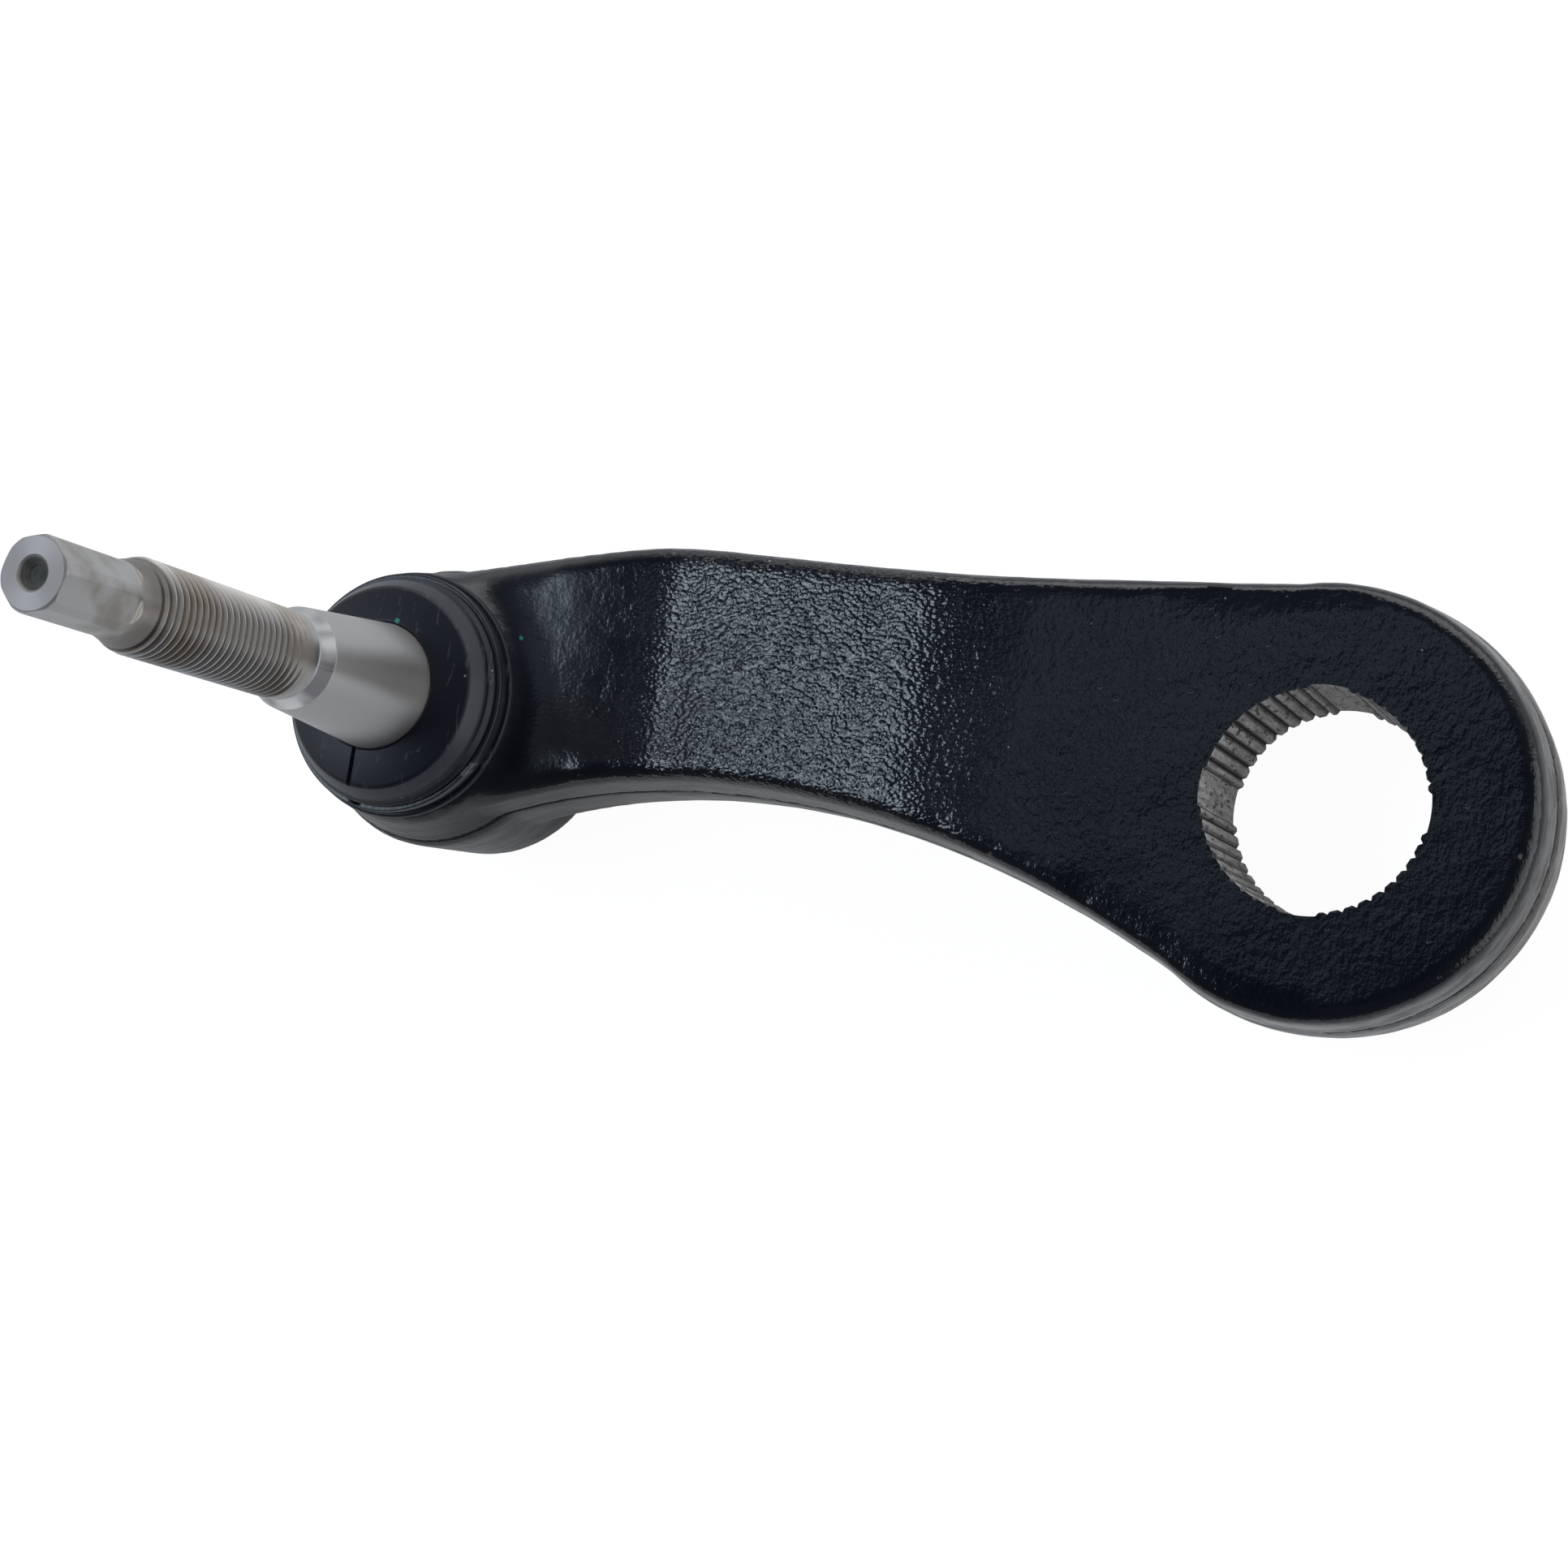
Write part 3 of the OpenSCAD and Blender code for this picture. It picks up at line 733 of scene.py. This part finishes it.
dress(arm, paint, bored)
edit(arm, "FACE")
machined = choose(arm, "FACE", is_bored)
arm.active_material_index = 1
bpy.ops.object.material_slot_assign()
bpy.ops.object.mode_set(mode="OBJECT")
print("bare faces:", machined)

# %% [markdown]
# ## Ground and turned steel of the stud
# The stud is bare steel, but no two of its zones look alike: the taper is ground to a satin, the chamfer was turned
# bright and carries painted reflections in light and dark patches, the thread's crests carry a painted highlight and
# its grooves painted shade, oil has browned in the thread's grooves, most of all near its two ends, and the end face
# is dull where it was cut off. All of it is one graph that asks how high a point is and how far it is from the stud's
# axis. Fine rings come from a noise read by height alone, and an anisotropic gloss draws each highlight out along the
# stud.

# %% Stud steel: zones
steel, tree, shader, place = material("ground_steel")
xyz = put(tree, "SeparateXYZ", [place]).outputs
reach = from_axis(tree, xyz, STUD_X * MM)
rings = put(tree, "TexNoise", {"W": xyz[2], "Scale": 5200.0, "Detail": 3.0}, noise_dimensions="1D").outputs[0]
turned = noise(tree, stretch(tree, place, (0.05, 0.05, 1.0)), 2600.0, 3, 0.6)
grind = calc(tree, "MULTIPLY_ADD", rings, 0.5, calc(tree, "MULTIPLY", turned, 0.5))
cloud = noise(tree, place, 95.0, 3, 0.55)
on_thread = band(tree, xyz[2], (0.0318, 0.0335), (0.0680, 0.0705))
chamfer = band(tree, xyz[2], (0.02835, 0.0285), (0.0308, 0.0311))
groove = calc(tree, "MULTIPLY", on_thread, ramp(tree, reach, 0.0063, 0.00688, 1.0, 0.0))
oil_ends = calc(tree, "MAXIMUM", band(tree, xyz[2], (0.0540, 0.0590), (0.0640, 0.0665)),
                ramp(tree, xyz[2], 0.0375, 0.0425, 1.0, 0.0))
oil = calc(tree, "MULTIPLY", ramp(tree, cloud, 0.22, 0.46), calc(tree, "MULTIPLY_ADD", oil_ends, 0.7, 0.3))
oily = calc(tree, "MULTIPLY", calc(tree, "MULTIPLY_ADD", groove, 0.55, calc(tree, "MULTIPLY", on_thread, 0.45)), oil)
end = ramp(tree, xyz[2], 0.08875, 0.08890)
tip = calc(tree, "SUBTRACT", ramp(tree, xyz[2], 0.0705, 0.0730), end)
hole = calc(tree, "MULTIPLY", ramp(tree, reach, 0.0021, 0.0026, 1.0, 0.0), ramp(tree, xyz[2], 0.0860, 0.0864))
lead = band(tree, xyz[2], (0.0681, 0.0688), (0.0722, 0.0732))
# Patches round the chamfer, light and dark: painted reflections.
glint_patches = ramp(tree, noise(tree, stretch(tree, place, (1.0, 1.0, 0.05)), 150.0, 2, 0.5), 0.36, 0.62)

# %% Stud steel: colour and gloss
# The chamfer's colour: steel turned bright, broken into painted reflections by the patches.
polish_and_glints = tint(tree, glint_patches, (0.24, 0.235, 0.245, 1), (0.80, 0.79, 0.79, 1))
drilled = tint(tree, ramp(tree, turned, 0.3, 0.6), (0.16, 0.155, 0.14, 1), (0.09, 0.088, 0.078, 1))
colour = tint(tree, grind, (0.44, 0.435, 0.43, 1), (0.52, 0.515, 0.51, 1))
# The thread's crests are tinted light, a painted highlight, and its grooves dark grey, painted shade; the oil's brown
# goes over both.
colour = tint(tree, calc(tree, "SUBTRACT", on_thread, groove), colour, (0.66, 0.65, 0.64, 1))
colour = tint(tree, groove, colour, (0.18, 0.165, 0.15, 1))
colour = tint(tree, lead, colour, (0.22, 0.205, 0.195, 1))
colour = tint(tree, oily, colour, (0.15, 0.095, 0.045, 1))
# The chamfer: turned-bright steel with painted reflections.
colour = tint(tree, chamfer, colour, polish_and_glints)
colour = tint(tree, calc(tree, "MULTIPLY", tip, ramp(tree, cloud, 0.45, 0.65)), colour, (0.32, 0.30, 0.275, 1))
colour = tint(tree, end, colour, (0.34, 0.31, 0.305, 1))
colour = tint(tree, hole, colour, drilled)
specks = place_group(tree, dust, {"Place": place, "Share": 0.008}).outputs[0]
colour = tint(tree, specks, colour, grey(0.05))
rough = calc(tree, "MULTIPLY_ADD", grind, 0.1, 0.29)
rough = calc(tree, "MULTIPLY_ADD", chamfer, -0.2, rough)
rough = calc(tree, "MULTIPLY_ADD", hole, 0.3, rough)
rough = calc(tree, "MULTIPLY_ADD", calc(tree, "ADD", end, oily), 0.15, rough)
metal = calc(tree, "MULTIPLY_ADD", calc(tree, "ADD", calc(tree, "ADD", end, hole), oily), -0.3, 0.95)
wire(tree, shader, {"Base Color": colour, "Roughness": rough, "Metallic": metal, "Anisotropic": 0.75,
                    "Anisotropic Rotation": 0.25})
emboss(tree, shader, 0.25, 0.00002, grind)
dress(stud, steel)
print("stud steel:", len(tree.nodes), "nodes")

# %% [markdown]
# ## Rubber
# The boot is a satin blue-black rubber, smoother than the paint. The cap's bevel is a little glossier and is painted
# paler all round, a painted highlight. Dust clings to the rubber, and it has a few fine scratches, drawn by a thin
# band of a stretched noise.

# %% Boot rubber
rubber, tree, shader, place = material("boot_rubber")
xyz = put(tree, "SeparateXYZ", [place]).outputs
reach = from_axis(tree, xyz, STUD_X * MM)
# The bevel's mask, for a painted highlight and a little less roughness.
bevel = calc(tree, "MULTIPLY", ramp(tree, reach, 0.0166, 0.0168), ramp(tree, xyz[2], 0.0007, 0.0010))
scuffs = noise(tree, stretch(tree, place, (1.0, 0.16, 1.0)), 520.0, 3, 0.6, 1.2)
scuff = band(tree, scuffs, (0.62, 0.66), (0.66, 0.7))
fine = noise(tree, place, 2400.0, 3, 0.6)
blotch = noise(tree, place, 70.0, 3, 0.55)
specks = place_group(tree, dust, {"Place": place, "Share": 0.12}).outputs[0]
colour = tint(tree, blotch, (0.0048, 0.0062, 0.0130, 1), (0.0080, 0.0098, 0.0185, 1))
# A paler ring on the bevel: a painted highlight.
colour = tint(tree, bevel, colour, (0.036, 0.041, 0.050, 1))
colour = tint(tree, calc(tree, "MULTIPLY", scuff, 0.6), colour, (0.07, 0.073, 0.08, 1))
colour = tint(tree, specks, colour, (0.30, 0.29, 0.26, 1))
colour = tint(tree, spot(tree, place, (-149.1, 10.8, 4.65), 0.45), colour, TEAL)
rough = calc(tree, "MULTIPLY_ADD", bevel, -0.06, calc(tree, "MULTIPLY_ADD", blotch, 0.12, 0.36))
wire(tree, shader, {"Base Color": colour, "Roughness": rough, "Specular IOR Level": 0.35})
emboss(tree, shader, 0.25, 0.00003, calc(tree, "ADD", fine, scuff))
dress(boot, rubber)
print("rubber:", len(tree.nodes), "nodes")

# %% [markdown]
# ## The smaller finishes
# The ring and the cover wear the same black paint, thinner over smooth steel, so they share one recipe with other
# values. The bearings are an ivory plastic and the spring washer is blued steel. They are hidden in the socket, but
# a reader who opens the part will see them, so they are finished too. These three stay as the CAD made them.

# %% Paint on pressed steel
def pressed_paint(name, size, bump_depth, worn, share):
    made, tree, shader, place = material(name)
    skin = place_group(tree, peel, {"Place": place, "Size": size}).outputs[0]
    cloud = noise(tree, place, 160.0, 3, 0.6)
    bare = ramp(tree, cloud, worn, worn + 0.03)
    specks = place_group(tree, dust, {"Place": place, "Share": share}).outputs[0]
    colour = tint(tree, cloud, (0.008, 0.010, 0.015, 1), (0.016, 0.019, 0.026, 1))
    colour = tint(tree, bare, colour, (0.16, 0.16, 0.165, 1))
    colour = tint(tree, specks, colour, grey(0.30))
    wire(tree, shader, {"Base Color": colour, "Roughness": calc(tree, "MULTIPLY_ADD", cloud, 0.15, 0.24),
                        "Metallic": calc(tree, "MULTIPLY", bare, 0.8)})
    emboss(tree, shader, 0.8, bump_depth, skin)
    return made


dress(ring, pressed_paint("ring_paint", 900.0, 0.00003, 0.66, 0.14))
dress(cover, pressed_paint("cover_paint", 520.0, 0.00006, 0.8, 0.03))


# %% Plastic and blued steel
def plain_finish(name, low, high, scale, rough, metallic, bump_depth):
    made, tree, shader, place = material(name)
    cloud = noise(tree, place, scale, 4, 0.6)
    wire(tree, shader, {"Base Color": tint(tree, cloud, low, high), "Metallic": metallic,
                        "Roughness": calc(tree, "MULTIPLY_ADD", cloud, 0.2, rough)})
    emboss(tree, shader, 0.4, bump_depth, cloud)
    return made


ivory = plain_finish("bearing_plastic", (0.55, 0.50, 0.38, 1), (0.66, 0.61, 0.49, 1), 320.0, 0.4, 0.0, 0.00002)
blued = plain_finish("blued_steel", (0.05, 0.06, 0.09, 1), (0.12, 0.13, 0.16, 1), 260.0, 0.3, 0.9, 0.00001)
for node, finish in (("upper_bearing", ivory), ("lower_bearing", ivory), ("spring_washer", blued)):
    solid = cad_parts[node]
    for slot in solid.material_slots:
        slot.material = finish
    if not solid.material_slots:
        solid.data.materials.append(finish)
print("materials:", len(bpy.data.materials))

# %% [markdown]
# ## Giving each piece its place in the mechanism
# The arm, ring, cover and stud are attached to the bodies that carry them, and the CAD nodes they stand for are
# hidden. The rubber boot crosses the ball joint, so it doesn't ride on one body: it stays in the CAD frame with its
# transform baked in, and the CAD boot is hidden.

# %% Ride and replace
for piece, body, node, slot in ((arm, "arm_body", "arm", "forging"), (ring, "arm_body", "boot_ring", "ring"),
                                (cover, "arm_body", "cover_plate", "cover"),
                                (stud, "stud_body", "ball_stud", "stud_steel")):
    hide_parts(node)
    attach(piece, body)
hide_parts("dust_boot")
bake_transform(boot)
print("pieces:", [piece.name for piece in (arm, stud, boot, ring, cover)])

# %% [markdown]
# ## Floor, light and world
# The part lies on a pale table, on the socket's back and the eye's far edge, so the table is tilted a little against
# the CAD frame. Big soft lamps stand round it, and the ceiling is dim, so that black gloss stays black where it faces
# up. The table shows white to the camera and in reflections, and still takes the part's shadow. Past the table's edge
# the world is white to the camera and to flat reflections too, so that a view from low down has no grey horizon.

# %% Floor
TABLE_SIZE = 6
TABLE_AT, TABLE_TILT = (0.0289, 0.0068, -0.0229), (1.35, -5.65, 0)

clear()
bpy.ops.mesh.primitive_plane_add(size=TABLE_SIZE, location=TABLE_AT, rotation=[radians(a) for a in TABLE_TILT])
floor = bpy.context.object
floor.name = "pale_table"
table, tree, shader, place = material("pale_table")
tree.nodes.remove(shader)
out = tree.nodes["Material Output"]
path = put(tree, "LightPath").outputs
mirrored = calc(tree, "MAXIMUM", path["Is Glossy Ray"], path["Is Transmission Ray"])
share = calc(tree, "MULTIPLY_ADD", mirrored, 0.25, calc(tree, "MULTIPLY", path["Is Camera Ray"], 0.85))
matt = put(tree, "BsdfDiffuse", {"Color": (0.82, 0.82, 0.82, 1)})
glow = put(tree, "Emission", {"Color": (1, 1, 1, 1), "Strength": 1.13})
wire(tree, out, {"Surface": put(tree, "MixShader", (share, matt.outputs[0], glow.outputs[0])).outputs[0]})
floor.data.materials.append(table)
print("table:", floor.name)

# %% Lamps
ARM_MIDDLE = (-0.075, 0.005, -0.01)


def softbox(name, direction, distance, size, radiance, colour=(1, 1, 1)):
    """A flat lamp that faces the arm's middle, with the brightness of its face given."""
    away = Vector(direction).normalized()
    clear()
    bpy.ops.object.light_add(type="AREA", location=Vector(ARM_MIDDLE) + away * distance)
    lamp = bpy.context.object
    lamp.name = name
    lamp.rotation_euler = away.to_track_quat("Z", "Y").to_euler()
    lamp.data.shape = "RECTANGLE"
    lamp.data.size, lamp.data.size_y = size
    lamp.data.energy = radiance * pi * size[0] * size[1]
    lamp.data.color = colour


softbox("left_softbox", (-0.649, -0.023, 0.760), 2.0, (1.07, 0.42), 7.4, (0.73, 0.87, 1.0))
softbox("top_softbox", (0.1, 0.95, 0.45), 0.8, (1.0, 0.4), 1.6)
softbox("right_softbox", (0.98, -0.1, 0.35), 0.9, (1.0, 0.8), 1.3)

# %% World
world = bpy.data.worlds.new("dim_studio")
bpy.context.scene.world = world
world.use_nodes = True
tree = world.node_tree
view = put(tree, "SeparateXYZ", [put(tree, "TexCoord").outputs["Generated"]]).outputs
across = calc(tree, "MULTIPLY_ADD", view[0], -0.7, calc(tree, "MULTIPLY", view[1], 0.8))
panel = tint(tree, ramp(tree, across, 0.15, 0.28), grey(0.01), (0.44, 0.52, 0.66, 1))
wall_light = tint(tree, ramp(tree, view[1], -0.7, -0.1), grey(0.12), grey(1.0))
sky = tint(tree, ramp(tree, view[2], 0.1, 0.75), wall_light, (0.05, 0.055, 0.07, 1))
sky = tint(tree, ramp(tree, view[2], 0.90, 0.935), sky, panel)
path = put(tree, "LightPath").outputs
low_mirror = calc(tree, "MULTIPLY", path["Is Glossy Ray"], ramp(tree, view[2], 0.0, 0.1, 1.0, 0.0))
seen = calc(tree, "MAXIMUM", path["Is Camera Ray"], calc(tree, "MAXIMUM", path["Is Transmission Ray"], low_mirror))
sky = tint(tree, seen, sky, grey(1.0))
wire(tree, tree.nodes["Background"], {"Color": sky, "Strength": 1.0})
bpy.context.scene.view_settings.view_transform = "Standard"
print("world:", world.name, len(tree.nodes), "nodes")
